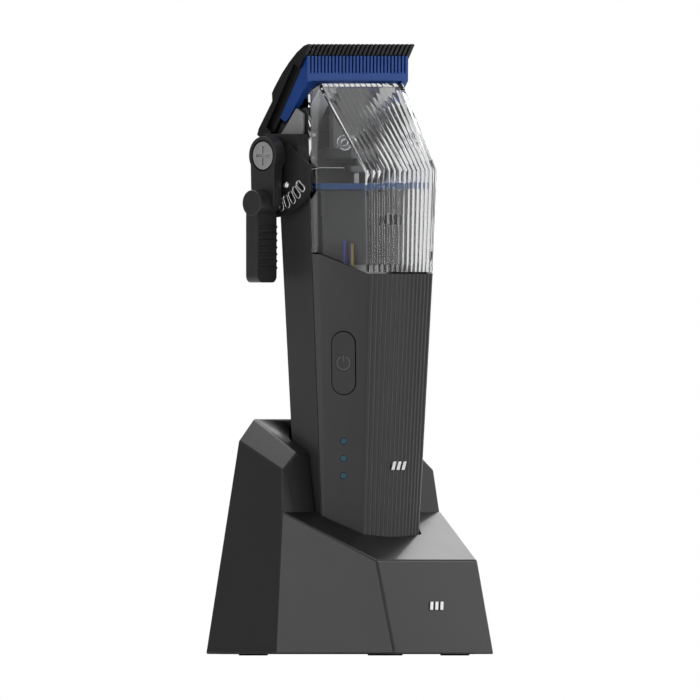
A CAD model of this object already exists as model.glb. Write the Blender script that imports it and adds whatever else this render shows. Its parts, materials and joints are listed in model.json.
import json
import math

import bpy
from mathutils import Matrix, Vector


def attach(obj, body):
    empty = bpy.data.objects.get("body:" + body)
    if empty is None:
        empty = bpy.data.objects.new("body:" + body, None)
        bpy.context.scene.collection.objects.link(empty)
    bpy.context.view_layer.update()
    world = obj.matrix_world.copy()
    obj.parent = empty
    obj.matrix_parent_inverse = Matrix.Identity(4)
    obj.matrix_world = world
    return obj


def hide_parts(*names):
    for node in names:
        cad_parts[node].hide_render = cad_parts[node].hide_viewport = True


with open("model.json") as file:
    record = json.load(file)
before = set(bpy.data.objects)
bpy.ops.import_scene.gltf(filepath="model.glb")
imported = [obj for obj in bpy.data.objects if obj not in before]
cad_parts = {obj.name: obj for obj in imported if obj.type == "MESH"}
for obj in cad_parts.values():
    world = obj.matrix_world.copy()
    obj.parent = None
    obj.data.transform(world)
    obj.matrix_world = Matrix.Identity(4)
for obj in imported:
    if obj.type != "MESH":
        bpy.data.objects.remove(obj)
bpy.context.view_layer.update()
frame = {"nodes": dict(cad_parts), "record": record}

bl_info = {
    "name": "Hair Clipper Looks",
    "version": (1, 0, 0),
    "blender": (4, 5, 0),
    "location": "View3D > Sidebar > Clipper",
    "description": "Finishes and softened pieces for a hair clipper and its charging dock",
    "category": "Object",
}

MM = 0.001
NODES = frame["nodes"]
BODY_OF = {n: body for body, names in frame["record"]["behaviour"]["bodies"].items() for n in names}
BRASS = (0.75, 0.5, 0.18, 1)


# ---- shader maths -----------------------------------------------------------


class Value:
    """A node socket that Python's operators add Math nodes to."""

    def __init__(self, tree, socket):
        self.tree, self.socket = tree, socket

    def _math(self, operation, a, b):
        node = self.tree.nodes.new("ShaderNodeMath")
        node.operation = operation
        set_input(self.tree, node.inputs[0], a)
        set_input(self.tree, node.inputs[1], b)
        return Value(self.tree, node.outputs[0])

    def __add__(self, other):
        return self._math("ADD", self, other)

    def __rsub__(self, other):
        return self._math("SUBTRACT", other, self)

    def __mul__(self, other):
        return self._math("MULTIPLY", self, other)

    __radd__, __rmul__ = __add__, __mul__

    def over(self, limit):
        return self._math("GREATER_THAN", self, limit)


def set_input(tree, slot, value):
    """Links a Value, or sets a number or colour."""
    if isinstance(value, Value):
        tree.links.new(value.socket, slot)
    else:
        slot.default_value = value


class Finish:
    """One procedural material and the nodes it is made from."""

    def __init__(self, name):
        self.material = bpy.data.materials.new(name)
        self.material.use_nodes = True
        self.tree = self.material.node_tree
        self.shader = self.tree.nodes["Principled BSDF"]
        self.output = self.tree.nodes["Material Output"]

    def node(self, kind, settings=None, **inputs):
        """Adds a node: its settings first, then the values or links of its sockets."""
        made = self.tree.nodes.new("ShaderNode" + kind)
        for key, setting in (settings or {}).items():
            setattr(made, key, setting)
        for key, value in inputs.items():
            set_input(self.tree, made.inputs[key.replace("_", " ")], value)
        return made

    def out(self, node, name=0):
        return Value(self.tree, node.outputs[name])

    def coordinates(self, stretch=(1, 1, 1)):
        place = self.node("TexCoord")
        turned = self.node("Mapping", Vector=self.out(place, "Object"), Scale=stretch)
        return self.out(turned)

    def axis(self, name):
        split = self.node("SeparateXYZ", Vector=self.out(self.node("TexCoord"), "Object"))
        return self.out(split, name)

    def noise(self, size, detail=3.0, stretch=(1, 1, 1)):
        """Noise whose grains are about size metres across."""
        return self.out(self.node(
            "TexNoise", Vector=self.coordinates(stretch), Scale=1 / size, Detail=detail, Roughness=0.6))

    def mix(self, factor, a, b):
        blend = self.node("Mix", {"data_type": "RGBA"})
        set_input(self.tree, blend.inputs[0], factor)
        set_input(self.tree, blend.inputs[6], a)
        set_input(self.tree, blend.inputs[7], b)
        return self.out(blend, 2)

    def bump(self, height, depth, strength=1.0):
        relief = self.node("Bump", Height=height, Distance=depth, Strength=strength)
        set_input(self.tree, self.shader.inputs["Normal"], self.out(relief))

    def set(self, **values):
        for key, value in values.items():
            set_input(self.tree, self.shader.inputs[key.replace("_", " ")], value)
        return self


def grey(value, alpha=1.0):
    return (value, value, value, alpha)


def shade(colour, factor):
    return tuple(c * factor for c in colour[:3]) + (1.0,)


def moulded(name, colour, roughness, grain=0.35, relief=0.012, coat=0.0):
    """Injection-moulded plastic: spark-eroded grain, cloudy gloss, a faint change of tone."""
    made = Finish(name)
    fine = made.noise(grain * MM, 2.0)
    cloud = made.noise(14 * MM, 2.0)
    tone = made.mix(cloud, shade(colour, 0.9), shade(colour, 1.1))
    made.set(Base_Color=tone, Roughness=roughness - 0.05 + fine * 0.06 + cloud * 0.05, Coat_Weight=coat)
    made.bump(fine, relief * MM, 0.5)
    return made.material


def metal(name, colour, roughness, stretch=(1, 1, 1), grain=0.5, relief=0.004):
    """Machined metal with fine marks along one way."""
    made = Finish(name)
    marks = made.noise(grain * MM, 4.0, stretch)
    cloud = made.noise(6 * MM)
    open_air = made.out(made.node("AmbientOcclusion", Distance=0.8 * MM), "AO")
    clean = made.mix(marks, shade(colour, 0.8), shade(colour, 1.1))
    made.set(
        Base_Color=made.mix(open_air, shade(colour, 0.12), clean),
        Metallic=1.0, Roughness=roughness + marks * 0.1 + cloud * 0.05)
    made.bump(marks, relief * MM, 0.6)
    return made.material


def coated(name, colour, roughness, metallic=0.0):
    """Hard coating on metal: fine orange peel and rubbed, lighter high spots."""
    made = Finish(name)
    peel = made.noise(0.5 * MM, 2.0)
    rubbed = made.noise(3 * MM, 6.0)
    made.set(
        Base_Color=made.mix(rubbed, shade(colour, 0.8), shade(colour, 1.25)),
        Metallic=metallic, Roughness=roughness + rubbed * 0.12)
    made.bump(peel, 0.01 * MM, 0.5)
    return made.material


def clear_plastic(name, tint, haze):
    """Polished clear moulding: sees through straight on and mirrors at a glance."""
    made = Finish(name)
    flow = made.noise(9 * MM, 1.0, (1, 1, 0.3))
    made.set(
        Base_Color=tint, Roughness=haze + flow * 0.03, IOR=1.49,
        Transmission_Weight=1.0, Specular_IOR_Level=0.6)
    made.bump(flow, 0.02 * MM, 0.3)
    return made.material


def circuit_board(name):
    """Green lacquer over copper tracks."""
    made = Finish(name)
    tracks = made.node("TexBrick", {"offset": 0.5}, Vector=made.coordinates(), Scale=90.0)
    bare = made.out(tracks, 1)
    lacquer, covered_track = (0.01, 0.07, 0.03, 1), (0.05, 0.16, 0.07, 1)
    made.set(Base_Color=made.mix(bare, lacquer, covered_track), Roughness=0.3 + bare * 0.2)
    return made.material


def two_wires(name, left, right, split_x):
    """One sleeving colour on each side of split_x."""
    made = Finish(name)
    side = made.axis("X").over(split_x)
    gloss = made.noise(1 * MM)
    made.set(Base_Color=made.mix(side, left, right), Roughness=0.35 + gloss * 0.1)
    return made.material


# ---- settings that a user would change -----------------------------------------


def colour_setting(name, description, default):
    return bpy.props.FloatVectorProperty(
        name=name, description=description, subtype="COLOR", size=4, min=0, max=1, default=default)


def length_setting(name, description, default):
    return bpy.props.FloatProperty(
        name=name, description=description, unit="LENGTH", subtype="DISTANCE", min=0, default=default)


class ClipperColours(bpy.types.PropertyGroup):
    dock: colour_setting("Dock", "Plastic of the charging dock", (0.008, 0.008, 0.0085, 1))
    body: colour_setting("Body", "Plastic of the two body shells", (0.026, 0.026, 0.0265, 1))
    blade: colour_setting("Fixed blade", "Coating of the fixed blade", (0.006, 0.006, 0.007, 1))
    cutter: colour_setting("Cutter", "Coating of the moving cutter", (0.004, 0.05, 0.25, 1))
    lever: colour_setting("Lever", "Coating of the taper lever", (0.014, 0.014, 0.015, 1))


class ClipperDock(bpy.types.PropertyGroup):
    width: length_setting("Width", "Width of the dock at its foot", 78 * MM)
    depth: length_setting("Depth", "Depth of the dock at its foot", 65 * MM)
    front_width: length_setting("Front width", "Width of the upright front face", 43 * MM)
    front_height: length_setting("Front height", "Height of the upright front face", 29.3 * MM)
    front_lean: length_setting("Front lean", "How far the front face leans back", 7.5 * MM)
    apron_height: length_setting("Apron height", "Height of the apron at the backrest", 42 * MM)
    lip: length_setting("Lip", "Height of the lip between apron and backrest", 2.2 * MM)
    backrest_y: length_setting("Backrest", "Y of the backrest's front face at the apron", 3.4 * MM)
    edge_height: length_setting("Front edge", "Height of the backrest's front edge", 62.4 * MM)
    top_height: length_setting("Rear edge", "Height of the backrest's rear edge", 72.9 * MM)
    top_width: length_setting("Top width", "Width of the backrest's flat top", 52 * MM)
    back_lean: length_setting("Back lean", "How far the rear face leans forward", 8.1 * MM)
    foot: length_setting("Foot", "Height of the shell's lower edge", 0.4 * MM)


class ClipperEdges(bpy.types.PropertyGroup):
    dock: length_setting("Dock edges", "Width of the rounding on the dock", 0.6 * MM)
    body: length_setting("Body edges", "Width of the rounding on the shells", 0.35 * MM)
    blade: length_setting("Blade edges", "Width of the rounding on the blades", 0.12 * MM)
    lever: length_setting("Lever edges", "Width of the rounding on the lever", 0.45 * MM)


# ---- modelling helpers ------------------------------------------------------------


def only(obj):
    bpy.ops.object.select_all(action="DESELECT")
    obj.select_set(True)
    bpy.context.view_layer.objects.active = obj


def linked(name, data):
    """A new object in the scene."""
    obj = bpy.data.objects.new(name, data)
    bpy.context.scene.collection.objects.link(obj)
    return obj


def apply_all(obj):
    only(obj)
    for modifier in list(obj.modifiers):
        bpy.ops.object.modifier_apply(modifier=modifier.name)


def finish_piece(obj, node, material, smooth=30):
    """Shades a piece, gives it its material, and puts it on the body and slot of a CAD node."""
    only(obj)
    bpy.ops.object.shade_smooth_by_angle(angle=math.radians(smooth))
    obj.data.materials.clear()
    obj.data.materials.append(material)
    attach(obj, BODY_OF[node])


def merged_copy(node):
    """A copy of a CAD node with its triangles joined into flat faces."""
    obj = linked(node + "_soft", NODES[node].data.copy())
    only(obj)
    bpy.ops.object.mode_set(mode="EDIT")
    bpy.ops.mesh.select_all(action="SELECT")
    bpy.ops.mesh.remove_doubles(threshold=0.004 * MM)
    bpy.ops.mesh.dissolve_limited(angle_limit=math.radians(0.6))
    bpy.ops.mesh.select_all(action="DESELECT")
    bpy.ops.object.mode_set(mode="OBJECT")
    return obj


def weigh_normals(obj):
    """Keeps flat faces flat beside their rounded edges."""
    weigh = obj.modifiers.new("Normals", "WEIGHTED_NORMAL")
    weigh.keep_sharp = True
    weigh.weight = 100
    apply_all(obj)


def round_edges(obj, edge, segments, sharp):
    """Rounds every edge that turns by more than sharp degrees."""
    bevel = obj.modifiers.new("Edges", "BEVEL")
    bevel.width = edge
    bevel.segments = segments
    bevel.limit_method = "ANGLE"
    bevel.angle_limit = math.radians(sharp)
    apply_all(obj)


def softened(node, material, edge, segments=3, sharp=28, smooth=30):
    """A merged copy of a CAD node with its edges rounded."""
    obj = merged_copy(node)
    round_edges(obj, edge, segments, sharp)
    finish_piece(obj, node, material, smooth)
    weigh_normals(obj)
    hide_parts(node)


def mirrored(corners):
    """The corners on both sides of the middle plane."""
    return [Vector((side * x, y, z)) for x, y, z in corners for side in (1, -1)]


def rounded_hull(name, corners, edge):
    """Convex solid through the corners, with every edge rounded."""
    mesh = bpy.data.meshes.new(name)
    mesh.from_pydata(corners, [], [])
    obj = linked(name, mesh)
    only(obj)
    bpy.ops.object.mode_set(mode="EDIT")
    bpy.ops.mesh.select_all(action="SELECT")
    bpy.ops.mesh.convex_hull()
    bpy.ops.mesh.dissolve_limited(angle_limit=math.radians(0.7))
    bpy.ops.object.mode_set(mode="OBJECT")
    round_edges(obj, edge, 4, 8)
    return obj


def combine(obj, other, operation):
    """Boolean of two objects; the second one is used up."""
    cut = obj.modifiers.new(operation.title(), "BOOLEAN")
    cut.operation = operation
    cut.solver = "EXACT"
    cut.object = other
    apply_all(obj)
    only(other)
    bpy.ops.object.delete()


def dock_outline(dock, edge, inset=0.03 * MM):
    """The dock's apron block and backrest as one solid, a hair inside the CAD's faces."""
    side_lean = 0.107
    backrest_slope = 0.1
    apron_y = dock.backrest_y - 0.6 * MM
    low_y = dock.backrest_y - 1.6 * MM
    low = dock.foot + inset
    hidden_y, hidden_in = 15 * MM, 4 * MM  # the block's rear corners, which the backrest covers
    side_z = dock.edge_height - 5.5 * MM
    rear_z = dock.top_height - 6.9 * MM

    def half(z):
        return dock.width / 2 - side_lean * z - inset

    def rear(z):
        return dock.depth / 2 - dock.back_lean * z / dock.top_height - inset

    def front(z):
        return dock.backrest_y + (z - dock.apron_height) * backrest_slope + inset

    base = Vector((dock.front_width / 2, -dock.depth / 2, dock.foot))
    normal = (Vector((half(dock.foot), low_y, dock.foot)) - base).cross(
        Vector((half(dock.apron_height), apron_y, dock.apron_height)) - base)
    corner_x = base.x - (normal.y * dock.front_lean + normal.z * (dock.front_height - dock.foot)) / normal.x
    block = rounded_hull("dock_block", mirrored([
        (base.x - inset, base.y + inset, low),
        (half(low), low_y, low),
        (half(low) - hidden_in, hidden_y, low),
        (corner_x - inset, base.y + dock.front_lean + inset, dock.front_height - inset),
        (half(dock.apron_height), apron_y, dock.apron_height - inset),
        (half(dock.apron_height), dock.backrest_y, dock.apron_height + dock.lip - inset),
        (half(dock.apron_height) - hidden_in, hidden_y, dock.apron_height - inset)]), edge)
    backrest = rounded_hull("dock_backrest", mirrored([
        (half(low), low_y + inset, low),
        (half(dock.apron_height), dock.backrest_y + inset, dock.apron_height),
        (half(low), rear(low), low),
        (half(side_z), front(side_z), side_z - inset),
        (dock.top_width / 2, front(dock.edge_height), dock.edge_height - inset),
        (half(rear_z), rear(rear_z), rear_z - inset),
        (dock.top_width / 2, rear(dock.top_height), dock.top_height - inset)]), edge)
    combine(block, backrest, "UNION")
    return block


def rounded_dock(node, material, dock, edge):
    """The CAD shell, cut back to a rounded outline."""
    obj = merged_copy(node)
    combine(obj, dock_outline(dock, edge), "INTERSECT")
    finish_piece(obj, node, material, 25)
    weigh_normals(obj)
    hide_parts(node)


def dress(node, material):
    """Gives a CAD node a material and leaves its shape alone."""
    mesh = NODES[node].data
    mesh.materials.clear()
    mesh.materials.append(material)


# ---- operators ---------------------------------------------------------------------


class OBJECT_OT_clipper_dock(bpy.types.Operator):
    """Dock shell, its base, feet and inlet"""

    bl_idname = "object.clipper_dock"
    bl_label = "Charging dock"

    def execute(self, context):
        colours = context.scene.clipper_colours
        edges = context.scene.clipper_edges
        plastic = moulded("dock_plastic", colours.dock, 0.3, coat=0.15)
        black = moulded("dock_black", grey(0.012), 0.5)
        rounded_dock("dock_shell", plastic, context.scene.clipper_dock, edges.dock)
        softened("dock_base", black, 0.3 * MM)
        softened("charging_inlet", black, 0.25 * MM)
        softened("dock_feet", moulded("foot_rubber", grey(0.01), 0.8, 0.2, 0.03), 0.3 * MM)
        softened("dock_screws", metal("screw_steel", grey(0.55), 0.25), 0.08 * MM)
        dress("dock_ballast", metal("ballast_steel", grey(0.3), 0.5, (1, 8, 1)))
        dress("dock_board", circuit_board("dock_board_lacquer"))
        dress("dock_pins", metal("pin_brass", BRASS, 0.2))
        softened("dock_badge", metal("badge_silver", grey(0.7), 0.3), 0.05 * MM)
        return {"FINISHED"}


class OBJECT_OT_clipper_shells(bpy.types.Operator):
    """Front and rear shells of the clipper and its bottom cap"""

    bl_idname = "object.clipper_shells"
    bl_label = "Body shells"

    def execute(self, context):
        colours = context.scene.clipper_colours
        edges = context.scene.clipper_edges
        plastic = moulded("body_plastic", colours.body, 0.34)
        softened("front_shell", plastic, 0.1 * MM, 2, 40, 35)
        softened("rear_shell", plastic, edges.body * 2, 3)
        softened("bottom_cap", moulded("cap_black", grey(0.012), 0.5), 0.2 * MM)
        softened("cap_screws", metal("cap_steel", grey(0.55), 0.25), 0.05 * MM)
        dress("charging_pads", metal("pad_brass", BRASS, 0.2))
        softened("body_badge", metal("body_badge_silver", grey(0.75), 0.3), 0.05 * MM)
        return {"FINISHED"}


class OBJECT_OT_clipper_cover(bpy.types.Operator):
    """Clear cover and its inner bosses"""

    bl_idname = "object.clipper_cover"
    bl_label = "Clear cover"

    def execute(self, context):
        clear = clear_plastic("clear_plastic", (0.97, 0.975, 0.98, 1), 0.0)
        softened("clear_cover", clear, 0.12 * MM, 2, 40, 35)
        softened("cover_boss", clear, 0.2 * MM)
        return {"FINISHED"}


class OBJECT_OT_clipper_inside(bpy.types.Operator):
    """What shows through the clear cover, and the sealed drive and power pieces"""

    bl_idname = "object.clipper_inside"
    bl_label = "Inside"

    def execute(self, context):
        steel = metal("motor_steel", grey(0.55), 0.3, (1, 1, 10))
        board = circuit_board("board_lacquer")
        black = moulded("component_black", grey(0.015), 0.45)
        softened("front_chassis", moulded("chassis_plastic", grey(0.05), 0.4), 0.3 * MM)
        softened("motor_bracket", coated("blue_anodised", (0.02, 0.08, 0.24, 1), 0.28, 0.6), 0.25 * MM)
        softened("motor_can", steel, 0.6 * MM)
        dress("motor_shaft", steel)
        softened("eccentric", metal("eccentric_steel", grey(0.18), 0.3), 0.2 * MM)
        softened("battery_cell", moulded("cell_sleeve", (0.03, 0.09, 0.25, 1), 0.3), 0.8 * MM)
        dress("cell_terminals", steel)
        dress("main_board", board)
        dress("lens_board", board)
        softened("board_parts", black, 0.15 * MM)
        dress("power_switch", steel)
        softened("drive_arm", moulded("smoky_acetal", grey(0.13), 0.4), 0.4 * MM)
        softened("taper_slider", steel, 0.25 * MM)
        dress("cutter_spring", steel)
        dress("signal_wires", two_wires(
            "wire_sleeves", (0.05, 0.05, 0.3, 1), (0.35, 0.26, 0.04, 1), -15.35 * MM))
        return {"FINISHED"}


class OBJECT_OT_clipper_controls(bpy.types.Operator):
    """Power button and indicator lenses"""

    bl_idname = "object.clipper_controls"
    bl_label = "Controls"

    def execute(self, context):
        colours = context.scene.clipper_colours
        softened("power_button", moulded("button_plastic", shade(colours.body, 0.95), 0.36), 0.3 * MM)
        dress("button_symbol", moulded("symbol_print", grey(0.08), 0.5))
        softened("indicator_lenses", moulded("lens_teal", (0.012, 0.075, 0.12, 1), 0.2), 0.25 * MM)
        return {"FINISHED"}


class OBJECT_OT_clipper_head(bpy.types.Operator):
    """Head frame, side plates and the two blades with their screws"""

    bl_idname = "object.clipper_head"
    bl_label = "Head and blades"

    def execute(self, context):
        colours = context.scene.clipper_colours
        edges = context.scene.clipper_edges
        softened("head_frame", moulded("head_black", grey(0.012), 0.4), 0.35 * MM)
        softened("side_plates", coated("side_plate_grey", grey(0.26), 0.35), 0.2 * MM)
        softened("fixed_blade", coated("blade_black", colours.blade, 0.32, 0.4), edges.blade, 2)
        softened("cutter", coated("cutter_blue", colours.cutter, 0.3, 0.3), edges.blade, 2)
        softened("blade_screws", metal("blade_screw_steel", grey(0.5), 0.25), 0.12 * MM)
        return {"FINISHED"}


class OBJECT_OT_clipper_lever(bpy.types.Operator):
    """Taper lever, its screw, shaft and bush, and the detent plate"""

    bl_idname = "object.clipper_lever"
    bl_label = "Taper lever"

    def execute(self, context):
        colours = context.scene.clipper_colours
        edges = context.scene.clipper_edges
        coat = coated("lever_black", colours.lever, 0.32)
        chrome = metal("detent_chrome", grey(0.8), 0.12)
        softened("lever_arm", coat, edges.lever)
        softened("lever_knob", coat, edges.lever)
        dress("thumb_bar", coat)
        softened("lever_screw", metal("lever_screw_steel", grey(0.6), 0.22, (1, 1, 1), 0.3), 0.15 * MM)
        dress("lever_shaft", chrome)
        dress("lever_bush", metal("bush_brass", BRASS, 0.3))
        softened("detent_plate", moulded("detent_black", grey(0.008), 0.4), 0.15 * MM)
        softened("detent_loops", chrome, 0.15 * MM)
        dress("detent_ball", chrome)
        dress("detent_plunger", chrome)
        return {"FINISHED"}


class OBJECT_OT_clipper_stage(bpy.types.Operator):
    """Floor, light and camera"""

    bl_idname = "object.clipper_stage"
    bl_label = "Stage"

    def execute(self, context):
        make_floor()
        make_world()
        make_lights()
        make_camera()
        return {"FINISHED"}


# ---- stage ---------------------------------------------------------------------------


def make_floor():
    bpy.ops.object.select_all(action="DESELECT")
    bpy.ops.mesh.primitive_plane_add(size=4, location=(0, 0, -0.4 * MM))
    floor = bpy.context.object
    floor.name = "floor"
    finish = Finish("floor_white")
    tone = finish.noise(0.3, 2.0)
    finish.set(Base_Color=finish.mix(tone, grey(0.8), grey(0.84)), Roughness=0.6)
    floor.data.materials.append(finish.material)


def make_world():
    """White behind the object and through clear plastic; softer light elsewhere, growing upwards."""
    world = bpy.data.worlds.new("studio")
    bpy.context.scene.world = world
    world.use_nodes = True
    tree = world.node_tree
    tree.nodes.clear()
    place = tree.nodes.new("ShaderNodeTexCoord")
    split = tree.nodes.new("ShaderNodeSeparateXYZ")
    path = tree.nodes.new("ShaderNodeLightPath")
    light = tree.nodes.new("ShaderNodeBackground")
    output = tree.nodes.new("ShaderNodeOutputWorld")
    tree.links.new(place.outputs["Generated"], split.inputs[0])
    height = Value(tree, split.outputs["Z"])
    seen = Value(tree, path.outputs["Is Camera Ray"]) + Value(tree, path.outputs["Is Transmission Ray"]) * 0.7
    glow = height * 0.2 + 0.3
    set_input(tree, light.inputs["Strength"], glow + (1 - glow) * seen)
    tree.links.new(light.outputs[0], output.inputs[0])
    light.inputs["Color"].default_value = grey(1.0)


def make_lights():
    aim = Vector((0, 0, 0.09))
    for name, place, size, power in (
        ("back_panel", (0.75, 0.75, 0.42), (1.5, 0.8), 11.0),
        ("top_panel", (0.1, 0.2, 0.9), (0.6, 0.6), 3.5),
        ("right_strip", (0.95, -0.6, 0.35), (0.3, 0.9), 2.6),
        ("front_strip", (-0.25, -0.95, 0.25), (0.08, 0.8), 1.3),
        ("left_strip", (-0.75, -0.1, 0.35), (0.2, 0.8), 1.0),
    ):
        lamp = bpy.data.lights.new(name, "AREA")
        lamp.shape = "RECTANGLE"
        lamp.size, lamp.size_y = size
        lamp.energy = power
        obj = linked(name, lamp)
        obj.location = place
        obj.visible_transmission = False
        obj.rotation_euler = (aim - Vector(place)).to_track_quat("-Z", "Y").to_euler()


def make_camera():
    """Level view of the front and the lever side, without perspective."""
    view_width, view_middle_z = 214.9 * MM, 93.8 * MM
    camera = bpy.data.cameras.new("camera")
    camera.type = "ORTHO"
    camera.ortho_scale = view_width
    camera.clip_end = 10
    obj = linked("camera", camera)
    half = math.sqrt(0.5)
    across = -6.02 * MM
    target = Vector((across * half, -across * half, view_middle_z))
    obj.location = target + Vector((-half, -half, 0)) * 1.5
    obj.rotation_euler = (target - obj.location).to_track_quat("-Z", "Y").to_euler()
    bpy.context.scene.camera = obj
    bpy.context.scene.view_settings.view_transform = "Standard"


# ---- panel and registration -------------------------------------------------------------

OPERATORS = (
    OBJECT_OT_clipper_dock, OBJECT_OT_clipper_shells, OBJECT_OT_clipper_cover, OBJECT_OT_clipper_inside,
    OBJECT_OT_clipper_controls, OBJECT_OT_clipper_head, OBJECT_OT_clipper_lever, OBJECT_OT_clipper_stage,
)


class VIEW3D_PT_clipper(bpy.types.Panel):
    """Buttons for every piece of the clipper"""

    bl_label = "Hair clipper"
    bl_space_type = "VIEW_3D"
    bl_region_type = "UI"
    bl_category = "Clipper"

    def draw(self, context):
        for operator in OPERATORS:
            self.layout.operator(operator.bl_idname)
        scene = context.scene
        for group in (scene.clipper_colours, scene.clipper_dock, scene.clipper_edges):
            for key in group.__annotations__:
                self.layout.prop(group, key)


CLASSES = (ClipperColours, ClipperDock, ClipperEdges) + OPERATORS + (VIEW3D_PT_clipper,)


def register():
    for cls in CLASSES:
        bpy.utils.register_class(cls)
    bpy.types.Scene.clipper_colours = bpy.props.PointerProperty(type=ClipperColours)
    bpy.types.Scene.clipper_dock = bpy.props.PointerProperty(type=ClipperDock)
    bpy.types.Scene.clipper_edges = bpy.props.PointerProperty(type=ClipperEdges)


def unregister():
    del bpy.types.Scene.clipper_colours
    del bpy.types.Scene.clipper_dock
    del bpy.types.Scene.clipper_edges
    for cls in reversed(CLASSES):
        bpy.utils.unregister_class(cls)


def main():
    register()
    for operator in OPERATORS:
        group, name = operator.bl_idname.split(".")
        getattr(getattr(bpy.ops, group), name)()


if __name__ == "__main__":
    main()
